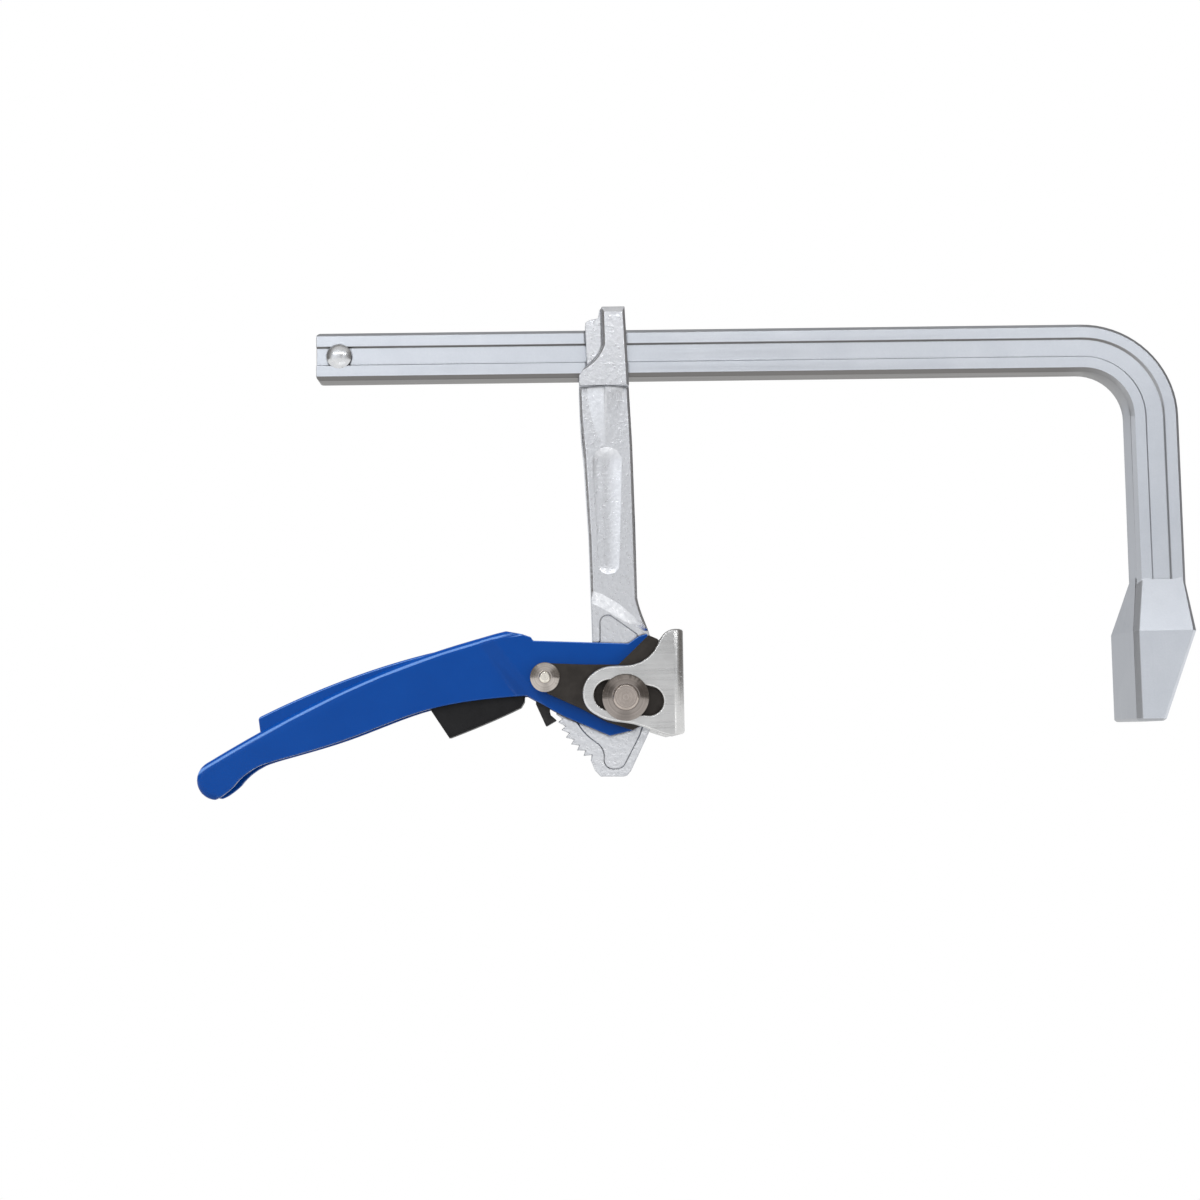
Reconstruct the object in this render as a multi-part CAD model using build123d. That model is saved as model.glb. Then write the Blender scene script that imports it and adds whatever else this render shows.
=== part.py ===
from build123d import *
import math
import os

# Lever clamp: a bent steel rail with a fixed jaw, and an arm that slides along it.
# A ratchet handle on the arm turns a pair of cams, which push a pressure plate.
# Millimetres. The origin is the centre of the fixed jaw's face. +X points from the
# pressure plate to the fixed jaw, +Y to the back, +Z up to the bar of the rail.
# The arm and all that it carries are drawn about the main pin and then put in place.

# Main sizes of the clamp
THROAT = 140.0              # jaw centre to the lower edge of the bar
PIN_X = -226.5              # main pin, from the face of the fixed jaw
PIN_DROP = 7.0              # main pin below the jaw centre
BAR_LENGTH = 350.0          # straight part of the bar, up to the bend

# Rail section, its bend and the groove along both sides
RAIL_HEIGHT = 22.0
RAIL_THICK = 10.5
RAIL_EDGE_HIGH = 1.7
RAIL_EDGE_DEEP = 1.2
GROOVE_HEIGHT = 7.6
GROOVE_DEPTH = 0.9
GROOVE_SLOPE = 0.6
BEND_INNER_RADIUS = 21.0
BAR_END_ROUND = 1.8

# Fixed jaw, forged from the end of the leg
JAW_HEIGHT = 40.0
JAW_WIDTH = 28.0
JAW_SETBACK = 6.1           # jaw face in front of the leg's inner face
JAW_TOE = 13.0              # thickness of the jaw at its lower end
JAW_FLARE = 24.0            # height of the stretch from leg to jaw
JAW_BEVEL = 2.0

# Rivet that stops the arm at the end of the bar
STOP_HEAD_RADIUS = 5.7
STOP_HEAD_HEIGHT = 2.3
STOP_SHANK_RADIUS = 2.5
STOP_INSET = 10.4

# Sliding arm: thin lower plate, thicker neck, and a head with an eye for the rail
ARM_THICK = 15.0
NECK_THICK = 18.4
SHOULDER_THICK = 24.0
CHEEK_THICK = 25.0
FLANGE_THICK = 19.0
EYE_CLEARANCE = 0.4
EYE_ROOF = 8.6
ARM_EDGE = 1.2
CREST_X = -6.8              # ridge down the upper neck, and where its slopes end
CREST_LEFT = -18.6
CREST_RIGHT = 4.8
NECK_LOW = 26.0             # hidden start of the thick neck, under the sloping step
POCKET_DEPTH = 1.4
POCKET_TOP = 107.0          # centres of its round ends
POCKET_LOW = 60.5
POCKET_HALF_TOP = 6.6
POCKET_HALF_LOW = 4.8
HEAD_BEVEL_HIGH = 2.8
HEAD_BEVEL_DEEP = 1.2
PANEL_DEPTH = 0.4

# Ratchet teeth round the main pin, angles measured down from the level to the left
TOOTH_TIP_RADIUS = 31.5
TOOTH_HEIGHT = 2.4
TOOTH_PITCH = 7.0
TOOTH_FIRST = 25.9
TEETH_BELOW = 5
TEETH_ABOVE = 7
TOOTH_LEAN = 1.4            # degrees from a tip to the root above it

# Main pin, fits and gaps
MAIN_PIN_RADIUS = 6.0
RUN_FIT = 0.05              # radial, between a pin and what turns on it
SLIDE_GAP = 0.3             # between faces that pass each other
SLOT_GAP = 0.3              # round the pin in the slots of the pressure plate

# Handle: a channel of sheet steel that widens into a fork
SHEET = 2.5
GRIP_WIDTH = 16.6
GRIP_ROUND = 3.4
GRIP_PEAK_X = -53.0         # highest point, where the grip meets the fork
GRIP_PEAK_Z = 30.8
JOGGLE_START = -46.4        # where the widening starts, level with the main pin
JOGGLE_RUN = 8.0
JOGGLE_LEAN = -0.737        # the widening runs to the left as it rises
WEB_END = -41.5

# Cams: the flat of the pressure plate is driven by an involute
CAM_THICK = 4.0
CAM_GAP = 0.3
CAM_RISE = 9.0              # per radian, and height of the contact above the pin
CAM_LOW_DEG = -42.0
CAM_TIP_DEG = 43.0

# Pawl pin and what sits on it
PAWL_PIN_REACH = 5.1        # from the tooth tips
PAWL_PIN_RISE = 15.1        # degrees above the level to the left
PAWL_PIN_RADIUS = 3.0
PAWL_THICK = 8.0
PAWL_LIFT = 7.0             # degrees that the nose is lifted out of the teeth
NOSE_GAP = 0.3
TAIL_THICK = 4.0
TAIL_LENGTH = 24.7
TRIGGER_WIDTH = 10.4
SPACER_WALL = 1.5
SPRING_CORE_WALL = 0.6
SPRING_WIRE = 0.6           # across the wire
SPRING_COIL_RADIUS = 4.1
SPRING_TURNS = 1.5
SPRING_PITCH = 1.05
SPRING_START = 41.5         # degrees up from the level, where the coil begins
WEB_LEG = 16.8
HOOK_LEG = 5.5

# Pressure plate: bent plate with two slotted ears
PLATE_THICK = 4.0
PLATE_REST = 22.0           # its inner face, from the main pin
PLATE_TOP = 30.0
PLATE_FOOT = -17.4
PLATE_INNER_BEND = 0.5
SLOT_LEFT = -7.4
SLOT_RIGHT = 10.4
SLOT_TILT = 9.2             # degrees, down to the right

# Turned collars on the pin ends
COLLAR_RADIUS = 10.3
COLLAR_HEIGHT = 4.0
COLLAR_RIM = 1.3
PAWL_COLLAR_RADIUS = 6.6
PAWL_COLLAR_HEIGHT = 3.0
PAWL_COLLAR_RIM = 1.0
MAIN_STUB_RADIUS = 5.7      # pin end inside its collar
PAWL_STUB_RADIUS = 2.6
STUB_RISE = 1.1             # pin end past its collar
STUB_CHAMFER = 0.7
COLLAR_LAND = 0.5           # flat ring at the top of the cone

# Worked out from the sizes above
ARM_HALF = ARM_THICK / 2
NECK_HALF = NECK_THICK / 2
SHOULDER_HALF = SHOULDER_THICK / 2
CHEEK_HALF = CHEEK_THICK / 2
FLANGE_HALF = FLANGE_THICK / 2
BAR_LOW = THROAT + PIN_DROP
BAR_TOP = BAR_LOW + RAIL_HEIGHT
BAR_MIDDLE = THROAT + RAIL_HEIGHT / 2
BEND_X = JAW_SETBACK - BEND_INNER_RADIUS
BEND_Z = THROAT - BEND_INNER_RADIUS
LEG_MIDDLE = JAW_SETBACK + RAIL_HEIGHT / 2
BAR_START = BEND_X - BAR_LENGTH
FORK_INNER = ARM_HALF + SLIDE_GAP
FORK_OUTER = FORK_INNER + SHEET
CAM_OUTER = FORK_OUTER + CAM_THICK
EAR_INNER = CAM_OUTER + SLIDE_GAP
EAR_OUTER = EAR_INNER + PLATE_THICK
COLLAR_INNER = EAR_OUTER + SLIDE_GAP
COLLAR_OUTER = COLLAR_INNER + COLLAR_HEIGHT
PAWL_COLLAR_OUTER = CAM_OUTER + PAWL_COLLAR_HEIGHT
CAM_BASE = PLATE_REST - CAM_GAP
TOOTH_ROOT_RADIUS = TOOTH_TIP_RADIUS - TOOTH_HEIGHT
PAWL_PIN_DISTANCE = TOOTH_TIP_RADIUS + PAWL_PIN_REACH
PAWL_PIN_X = -PAWL_PIN_DISTANCE * math.cos(math.radians(PAWL_PIN_RISE))
PAWL_PIN_Z = PAWL_PIN_DISTANCE * math.sin(math.radians(PAWL_PIN_RISE))
PAWL_BOSS_RADIUS = PAWL_PIN_REACH - SLIDE_GAP
SPRING_WIRE_RADIUS = SPRING_WIRE / 2
BIG = 300.0


def outline_of(points):
    """Face inside a closed run of straight edges."""
    return make_face(Polyline(*points, close=True))


def slab(outline, y_from, y_to):
    """Solid with a side outline (X right, Z up) between two depths."""
    return extrude(Plane.XZ.offset(-y_to) * outline, y_to - y_from)


def centred_slab(outline, half):
    return slab(outline, -half, half)


def rod(x, z, radius, y_from, y_to):
    """Round rod along Y."""
    return slab(Pos(x, z) * Circle(radius), y_from, y_to)


def both_sides(shape):
    """A piece and its mirror image about the middle plane."""
    return shape + mirror(shape, Plane.XZ)


def on_arm(shape):
    """Puts a piece that is drawn about the main pin in its place on the rail."""
    return Pos(PIN_X, 0, -PIN_DROP) * shape


def at_pawl_pin(x, z):
    """Point given from the pawl pin, in the frame of the main pin."""
    return (PAWL_PIN_X + x, PAWL_PIN_Z + z)


def below_level(radius, degrees):
    """Point at a radius from the main pin, an angle down from the level to the left."""
    angle = math.radians(degrees)
    return (-radius * math.cos(angle), -radius * math.sin(angle))


# Rail


def rail_section():
    """Flat bar with bevelled edges and a groove down both sides, in (depth, height)."""
    side = RAIL_THICK / 2
    top = RAIL_HEIGHT / 2
    groove = GROOVE_HEIGHT / 2
    quarter = [
        (side - RAIL_EDGE_DEEP, top),
        (side, top - RAIL_EDGE_HIGH),
        (side, groove + GROOVE_SLOPE),
        (side - GROOVE_DEPTH, groove),
    ]
    right = quarter + [(y, -z) for y, z in reversed(quarter)]
    left = [(-y, -z) for y, z in right]
    return outline_of(right + left)


def bar():
    start = Plane(origin=(BAR_START, 0, BAR_MIDDLE), x_dir=(0, 1, 0), z_dir=(1, 0, 0))
    straight = extrude(start * rail_section(), BAR_LENGTH)
    middle = Pos(BAR_START + BAR_LENGTH, BAR_MIDDLE)
    ends = middle * RectangleRounded(2 * BAR_LENGTH, RAIL_HEIGHT, BAR_END_ROUND)
    return straight & centred_slab(ends, RAIL_THICK)


def bend():
    start = Plane(origin=(BEND_X, 0, BAR_MIDDLE), x_dir=(0, 1, 0), z_dir=(1, 0, 0))
    centre_line = Axis((BEND_X, 0, BEND_Z), (0, 1, 0))
    return revolve(start * rail_section(), centre_line, 90)


def leg():
    """Straight part of the leg, down to the pad of the fixed jaw."""
    top = Plane(origin=(LEG_MIDDLE, 0, BEND_Z), x_dir=(0, 1, 0), z_dir=(0, 0, -1))
    return extrude(top * rail_section(), BEND_Z - JAW_HEIGHT / 2)


def jaw_section(x_from, x_to, width, z):
    """Level cross-section with bevelled corners."""
    section = Rectangle(x_to - x_from, width)
    return Pos((x_from + x_to) / 2, 0, z) * chamfer(section.vertices(), JAW_BEVEL)


def fixed_jaw():
    """Pad that the end of the leg is forged into, with a flared neck above it."""
    outer = JAW_SETBACK + RAIL_HEIGHT
    top = JAW_HEIGHT / 2
    neck = jaw_section(JAW_SETBACK, outer, RAIL_THICK, top + JAW_FLARE)
    shoulder = jaw_section(0, outer, JAW_WIDTH, top)
    flare = loft([neck, shoulder], ruled=True)
    side = outline_of([(0, top), (outer, top), (JAW_TOE, -top), (0, -top)])
    pad = centred_slab(side, JAW_WIDTH / 2)
    pad = chamfer([edge for edge in pad.edges() if abs((edge % 0.5).Z) > 0.5], JAW_BEVEL)
    return flare + chamfer(pad.edges().group_by(Axis.Z)[0], JAW_BEVEL / 2)


def rail():
    hole = rod(BAR_START + STOP_INSET, BAR_MIDDLE, STOP_SHANK_RADIUS, -RAIL_THICK, RAIL_THICK)
    return bar() + bend() + leg() + fixed_jaw() - hole


def stop_rivet():
    """Shank through the bar with a domed head on each side."""
    x = BAR_START + STOP_INSET
    seat = RAIL_THICK / 2
    shank = rod(x, BAR_MIDDLE, STOP_SHANK_RADIUS, -seat, seat)
    dome_radius = (STOP_HEAD_RADIUS**2 + STOP_HEAD_HEIGHT**2) / (2 * STOP_HEAD_HEIGHT)
    ball = Pos(x, -seat - STOP_HEAD_HEIGHT + dome_radius, BAR_MIDDLE) * Sphere(dome_radius)
    head = ball & rod(x, BAR_MIDDLE, STOP_HEAD_RADIUS, -seat - STOP_HEAD_HEIGHT, -seat)
    return shank + both_sides(head)


# Sliding arm


def ratchet_points():
    """Tooth tips and roots, from the lowest tooth up to the last one."""
    points = []
    for number in range(TEETH_BELOW, -TEETH_ABOVE - 1, -1):
        tip = TOOTH_FIRST + number * TOOTH_PITCH
        points.append(below_level(TOOTH_TIP_RADIUS, tip))
        points.append(below_level(TOOTH_ROOT_RADIUS, tip - TOOTH_LEAN))
    return points


def arm_outline():
    """Side outline of the arm, from the foot past the teeth and up to the head."""
    foot = [(-11.1, -34.7), (-13.5, -32.1)]
    left = [(-14.0, 24.0), (-14.0, 30.0), (-15.0, 74.0), (-16.8, 108.0), (-18.3, 130.0)]
    lip = [
        (-18.6, BAR_LOW - 5.2),
        (-18.5, BAR_LOW - 1.5),
        (-16.7, BAR_LOW + 1.7),
        (-14.9, BAR_LOW + 4.0),
        (-15.5, BAR_TOP),
        (-15.2, BAR_TOP + 2.0),
        (-13.2, BAR_TOP + 3.1),
        (-9.6, BAR_TOP + 3.8),
        (-8.9, BAR_TOP + 7.4),
        (-8.1, BAR_TOP + EYE_ROOF),
        (2.5, BAR_TOP + EYE_ROOF),
    ]
    right = [(3.1, BAR_TOP - 4.0), (4.0, BAR_LOW - 5.5), (5.2, 115.0), (6.0, 78.0), (6.4, 45.0)]
    start = below_level(TOOTH_TIP_RADIUS, TOOTH_FIRST + TEETH_BELOW * TOOTH_PITCH)
    teeth = Polyline(*(foot + ratchet_points() + left + lip + right))
    belly = Spline((6.4, 45.0), (8.6, 37.0), (11.4, 29.4), (13.6, 12.0), (11.3, -14.2))
    sole = Polyline((11.3, -14.2), (2.4, -32.4), (0.7, -34.4), (-0.8, -34.8), foot[0])
    return make_face([*teeth.edges(), *belly.edges(), *sole.edges()])


def border_region(border):
    """Everything below a border line that runs from left to right."""
    return outline_of([(-60, border[0][1]), *border, (60, border[-1][1]), (60, -60), (-60, -60)])


def between(low, high):
    """Everything between two levels."""
    return outline_of([(-60, high), (60, high), (60, low), (-60, low)])


def bevelled_slab(outline, half, bevel):
    """Slab about the middle plane with bevels along its long upright outer edges."""
    shortest = 4 * bevel
    body = centred_slab(outline, half)
    outer = [edge for edge in body.edges() if abs(abs(edge.center().Y) - half) < 0.01]
    upright = [edge for edge in outer if abs((edge % 0.5).Z) > 0.3]
    return chamfer([edge for edge in upright if edge.length > shortest], bevel)


def plate_relief():
    """What is taken off one side below the neck, with a sloping step as its top."""
    upper = border_region([(-13.7, 48.3), (-9.5, 46.9), (-1.2, 41.8), (9.6, 32.4)])
    lower = border_region([(-13.7, 42.6), (-9.5, 40.7), (-1.2, 35.5), (9.6, 30.2)])
    inner = Plane.XZ.offset(ARM_HALF) * lower
    outer = Plane.XZ.offset(NECK_HALF) * upper
    step = loft([inner, outer], ruled=True)
    return step + slab(upper, -BIG, -NECK_HALF)


def shoulder_section(ridge, z):
    """Six-sided cross-section with a ridge down the front and the back."""
    edge = NECK_HALF - ARM_EDGE
    front = [(CREST_LEFT, -edge), (CREST_X, -ridge), (CREST_RIGHT, -edge)]
    back = [(x, -y) for x, y in reversed(front)]
    return Pos(0, 0, z) * outline_of(front + back)


def neck(outline):
    """Thick part between the step and the head, ridged where it meets the head."""
    ridge_low = 108.0
    ridge_high = BAR_LOW - 6.0
    lower = shoulder_section(NECK_HALF - ARM_EDGE / 2, ridge_low)
    upper = shoulder_section(SHOULDER_HALF, ridge_high)
    ridge = loft([lower, upper], ruled=True)
    plain = bevelled_slab(outline & between(NECK_LOW, ridge_high), NECK_HALF, ARM_EDGE)
    return plain + (ridge & centred_slab(outline, CHEEK_HALF))


def head(outline):
    """Head round the rail: a thin flange on the left and a thick cheek on the right."""
    low = BAR_LOW - 6.0
    above = outline & between(low, BAR_TOP + 2 * EYE_ROOF)
    cheek = Polyline(
        (-8.1, BAR_TOP + 20),
        (-7.9, BAR_TOP + 2),
        (-7.7, BAR_LOW + 13),
    )
    sweep_left = Spline((-7.7, BAR_LOW + 13), (-9.8, BAR_LOW + 8.5), (-16.8, BAR_LOW + 2.4))
    rest = Polyline((-16.8, BAR_LOW + 2.4), (-40, low), (40, low), (40, BAR_TOP + 20), (-8.1, BAR_TOP + 20))
    cheek_side = make_face([*cheek.edges(), *sweep_left.edges(), *rest.edges()])
    thin = centred_slab(above, FLANGE_HALF)
    thick = bevelled_slab(above & cheek_side, CHEEK_HALF, ARM_EDGE)
    return thin + (thick - both_sides(head_bevel()))


def head_bevel():
    """Wedge taken off the front upper edge of the cheek."""
    top = BAR_TOP + EYE_ROOF
    wedge = outline_of([
        (-CHEEK_HALF, top - HEAD_BEVEL_HIGH),
        (-CHEEK_HALF + 2 * HEAD_BEVEL_DEEP, top + HEAD_BEVEL_HIGH),
        (-CHEEK_HALF - 2 * HEAD_BEVEL_DEEP, top + HEAD_BEVEL_HIGH),
        (-CHEEK_HALF - 2 * HEAD_BEVEL_DEEP, top - HEAD_BEVEL_HIGH),
    ])
    return extrude(Plane.YZ * wedge, 60, both=True)


def eye():
    """Opening for the rail."""
    height = RAIL_HEIGHT + 2 * EYE_CLEARANCE
    width = RAIL_THICK + 2 * EYE_CLEARANCE
    return Pos(0, 0, BAR_LOW + RAIL_HEIGHT / 2) * Box(100, width, height)


def pocket():
    """Scooped hollow in the front of the neck, wide and deep at its upper end."""
    top_radius = (POCKET_HALF_TOP**2 + POCKET_DEPTH**2) / (2 * POCKET_DEPTH)
    rise = top_radius - POCKET_DEPTH
    low_radius = math.hypot(POCKET_HALF_LOW, rise)
    height = POCKET_TOP - POCKET_LOW
    scoop = Pos(0, 0, height / 2) * Sphere(top_radius)
    scoop += Pos(0, 0, -height / 2) * Sphere(low_radius)
    scoop += Cone(low_radius, top_radius, height)
    return Pos(-6.3, -NECK_HALF - rise, (POCKET_TOP + POCKET_LOW) / 2) * scoop


def panel():
    """Shallow field on the lower plate, set in from its outline."""
    upper = Polyline((9.4, 14.0), (6.0, 28.8), (-5.1, 36.9))
    corner = ThreePointArc((-5.1, 36.9), (-8.9, 37.0), (-10.5, 33.6))
    left = Polyline((-10.5, 33.6), (-10.6, 26.0), (-24.5, 8.0), (-24.5, -2.0), (-21.4, -10.3))
    lower = ThreePointArc((-21.4, -10.3), (-17.9, -15.2), (-12.6, -19.7))
    waist = ThreePointArc((-12.6, -19.7), (-10.2, -22.4), (-9.4, -26.2))
    foot = ThreePointArc((-9.4, -26.2), (-8.2, -30.3), (-4.3, -31.3))
    toe = ThreePointArc((-4.3, -31.3), (-1.9, -30.9), (-0.2, -29.2))
    right = Polyline((-0.2, -29.2), (6.6, -16.4), (9.4, -8.0), (9.4, 14.0))
    rounds = [corner, lower, waist, foot, toe]
    round_edges = [edge for curve in rounds for edge in curve.edges()]
    field = make_face([*upper.edges(), *left.edges(), *right.edges(), *round_edges])
    return slab(field, -ARM_HALF, -ARM_HALF + PANEL_DEPTH)


def sliding_arm():
    outline = arm_outline()
    lower_plate = centred_slab(outline & between(-60, NECK_LOW + 20), ARM_HALF)
    body = lower_plate + neck(outline) + head(outline)
    body = body - both_sides(plate_relief()) - both_sides(pocket()) - both_sides(panel())
    bore = rod(0, 0, MAIN_PIN_RADIUS, -ARM_THICK, ARM_THICK)
    return on_arm(body - eye() - bore)


# Handle


def plan(half_grip, half_fork):
    """Plan of the channel or of its hollow, narrow in the grip and wide in the fork."""
    far = -260
    end = 60
    side = [
        (far, half_grip),
        (JOGGLE_START, half_grip),
        (JOGGLE_START + JOGGLE_RUN, half_fork),
        (end, half_fork),
    ]
    shape = outline_of(side + [(x, -y) for x, y in reversed(side)])
    corners = shape.vertices().filter_by_position(Axis.X, -100, 0)
    return fillet(corners, 9)


def leaning(shape):
    """Plan drawn out upwards and downwards, leaning to the left as it rises."""
    direction = Vector(JOGGLE_LEAN, 0, 1)
    amount = 60 * direction.length
    return extrude(shape, amount, dir=direction, both=True)


def grip_top(shift_x, shift_z):
    """Top of the grip: two arcs that run into each other."""
    right = (GRIP_PEAK_X + shift_x, GRIP_PEAK_Z + shift_z)
    crown = (-91.8 + shift_x, 19.7 + shift_z)
    middle = (-132.1 + shift_x, 3.1 + shift_z)
    left = (-187.2 + shift_x, -26.6 + shift_z)
    long_arc = ThreePointArc(right, crown, middle)
    return long_arc + TangentArc(middle, left, tangent=long_arc % 1)


def handle_outline():
    """Side outline of grip and fork, with the end of the grip turned down."""
    top = grip_top(0, 0)
    fork = Polyline(
        (GRIP_PEAK_X, GRIP_PEAK_Z),
        (-45.4, 29.2),
        (WEB_END, 27.8),
        (WEB_END + 1.0, 26.2),
        (2.0, 24.4),
        (6.5, 27.5),
        (10.3, 28.7),
        (12.6, 22.0),
        (17.0, 10.0),
        (15.0, -3.0),
        (10.0, -10.0),
        (3.4, -14.3),
        (-6.8, -16.6),
        (-27.0, -7.8),
        (-43.7, 1.7),
    )
    nose = TangentArc(top @ 1, (-191.4, -35.6), tangent=top % 1)
    knob = TangentArc(nose @ 1, (-183.0, -43.3), tangent=nose % 1)
    heel = ThreePointArc(knob @ 1, (-178.6, -40.6), (-174.6, -37.3))
    belly = Spline(
        (-174.6, -37.3),
        (-168.4, -31.2),
        (-162.7, -28.0),
        (-156.4, -26.0),
        (-142.6, -22.3),
        (-122.7, -16.2),
        (-90.2, -4.6),
        (-57.8, 0.8),
        (-43.7, 1.7),
    )
    curves = [top, nose, knob, heel, belly, fork]
    return make_face([edge for curve in curves for edge in curve.edges()])


def hollow_outline():
    """Side outline of the space inside the channel, open below and past the web."""
    top = grip_top(1.0, -SHEET)
    right = top @ 0
    left = top @ 1
    rest = Polyline(
        (left.X, left.Y),
        (-189.2, -34.0),
        (-185.3, -90),
        (60, -90),
        (60, 90),
        (WEB_END, 90),
        (WEB_END, GRIP_PEAK_Z - SHEET),
        (right.X, right.Y),
    )
    return make_face([*top.edges(), *rest.edges()])


def web_edges(block):
    """Long edges where the web of the channel turns down into its sides."""
    upward = [face for face in block.faces() if face.normal_at().Z > 0.5]
    web = max(upward, key=lambda face: face.area)
    return [edge for edge in web.edges() if edge.bounding_box().size.X > 1.0]


def handle():
    """Channel whose web covers the grip and whose sides run on as a fork."""
    half_grip = GRIP_WIDTH / 2
    block = leaning(plan(half_grip, FORK_OUTER)) & centred_slab(handle_outline(), BIG)
    block = fillet(web_edges(block), GRIP_ROUND)
    hollow = leaning(plan(half_grip - SHEET, FORK_INNER)) & centred_slab(hollow_outline(), BIG)
    body = block - hollow
    main_hole = rod(0, 0, MAIN_PIN_RADIUS + RUN_FIT, -BIG, BIG)
    pawl_hole = rod(PAWL_PIN_X, PAWL_PIN_Z, PAWL_PIN_RADIUS, -BIG, BIG)
    return on_arm(body - main_hole - pawl_hole)


# Cams


def cam_point(degrees):
    """Where the cam touches the flat plate when the handle is turned by an angle."""
    angle = math.radians(degrees)
    reach = CAM_BASE + CAM_RISE * angle
    x = reach * math.cos(angle) - CAM_RISE * math.sin(angle)
    z = reach * math.sin(angle) + CAM_RISE * math.cos(angle)
    return (x, z)


def cam_outline():
    steps = 8
    span = CAM_TIP_DEG - CAM_LOW_DEG
    working_edge = Spline(*[cam_point(CAM_TIP_DEG - span * i / steps) for i in range(steps + 1)])
    tip = cam_point(CAM_TIP_DEG)
    low = cam_point(CAM_LOW_DEG)
    slope = math.radians(CAM_LOW_DEG)
    tangent_run = 8.5
    heel = (low[0] + tangent_run * math.sin(slope), low[1] - tangent_run * math.cos(slope))
    back = Polyline(
        low,
        heel,
        (3.2, -14.3),
        (-8.0, -10.6),
        (-19.4, -4.6),
        (PAWL_PIN_X + 0.8, PAWL_PIN_Z - 7.1),
        (PAWL_PIN_X, PAWL_PIN_Z + 6.3),
        (-17.9, 15.0),
        (-2.7, 14.8),
        (10.8, 27.7),
        tip,
    )
    plate = make_face([*working_edge.edges(), *back.edges()])
    return plate + Pos(PAWL_PIN_X, PAWL_PIN_Z) * Circle(PAWL_COLLAR_RADIUS - 0.2)


def cam_plate(side):
    """Cam beside one side of the fork: -1 is the front, +1 the rear."""
    plate = slab(cam_outline(), FORK_OUTER, CAM_OUTER)
    plate -= rod(0, 0, MAIN_PIN_RADIUS + RUN_FIT, -BIG, BIG)
    plate -= rod(PAWL_PIN_X, PAWL_PIN_Z, PAWL_PIN_RADIUS, -BIG, BIG)
    return on_arm(plate if side > 0 else mirror(plate, Plane.XZ))


# Pins and collars


def pin(x, z, radius, seat, stub_radius, collar_outer):
    """Pin that steps down at the seats of its collars, with bevelled ends."""
    half_length = collar_outer + STUB_RISE
    stub = rod(x, z, stub_radius, -half_length, half_length)
    stub = chamfer(stub.edges().filter_by(GeomType.CIRCLE), STUB_CHAMFER)
    return on_arm(rod(x, z, radius, -seat, seat) + stub)


def main_pin():
    return pin(0, 0, MAIN_PIN_RADIUS, COLLAR_INNER, MAIN_STUB_RADIUS, COLLAR_OUTER)


def pawl_pin():
    return pin(
        PAWL_PIN_X,
        PAWL_PIN_Z,
        PAWL_PIN_RADIUS,
        CAM_OUTER,
        PAWL_STUB_RADIUS,
        PAWL_COLLAR_OUTER,
    )


def collar(side, x, z, bore, radius, rim, y_from, height):
    """Turned ring on a pin end: a short rim, then a cone down to the pin."""
    profile = outline_of([
        (bore, 0),
        (radius, 0),
        (radius, rim),
        (bore + COLLAR_LAND, height),
        (bore, height),
    ])
    ring = revolve(Plane.XZ * profile, Axis.Z)
    turned = Pos(x, side * y_from, z) * Rot(-90 * side, 0, 0) * ring
    return on_arm(turned)


def main_pin_collar(side):
    return collar(
        side,
        0,
        0,
        MAIN_STUB_RADIUS,
        COLLAR_RADIUS,
        COLLAR_RIM,
        COLLAR_INNER,
        COLLAR_HEIGHT,
    )


def pawl_pin_collar(side):
    return collar(
        side,
        PAWL_PIN_X,
        PAWL_PIN_Z,
        PAWL_STUB_RADIUS,
        PAWL_COLLAR_RADIUS,
        PAWL_COLLAR_RIM,
        CAM_OUTER,
        PAWL_COLLAR_HEIGHT,
    )


def pawl_spacer(radius, y_from, y_to):
    """Sleeve on the pawl pin between the pawl and one side of the fork."""
    sleeve = rod(PAWL_PIN_X, PAWL_PIN_Z, radius, y_from, y_to)
    return on_arm(sleeve - rod(PAWL_PIN_X, PAWL_PIN_Z, PAWL_PIN_RADIUS, -BIG, BIG))


def pawl_spacer_front():
    core = PAWL_PIN_RADIUS + SPRING_CORE_WALL
    return pawl_spacer(core, -FORK_INNER, -PAWL_THICK / 2 - NOSE_GAP)


def pawl_spacer_rear():
    return pawl_spacer(PAWL_PIN_RADIUS + SPACER_WALL, PAWL_THICK / 2 + NOSE_GAP, FORK_INNER)


# Pawl, trigger and spring


def nose_points():
    """The pawl's tooth as it sits in its gap, clear of both flanks."""
    flank_gap = math.degrees(NOSE_GAP / TOOTH_TIP_RADIUS)
    stop_tip = TOOTH_FIRST - TOOTH_PITCH - flank_gap
    flank_slope = TOOTH_LEAN / TOOTH_HEIGHT
    low_radius = TOOTH_ROOT_RADIUS + NOSE_GAP
    high_radius = TOOTH_TIP_RADIUS + NOSE_GAP
    heel_radius = TOOTH_TIP_RADIUS + 3.2
    heel = below_level(heel_radius, stop_tip + flank_slope * (heel_radius - TOOTH_TIP_RADIUS))
    point = below_level(low_radius, stop_tip - flank_slope * (TOOTH_TIP_RADIUS - low_radius))
    back = below_level(high_radius, stop_tip - TOOTH_PITCH + flank_gap)
    return [heel, point, back]


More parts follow.
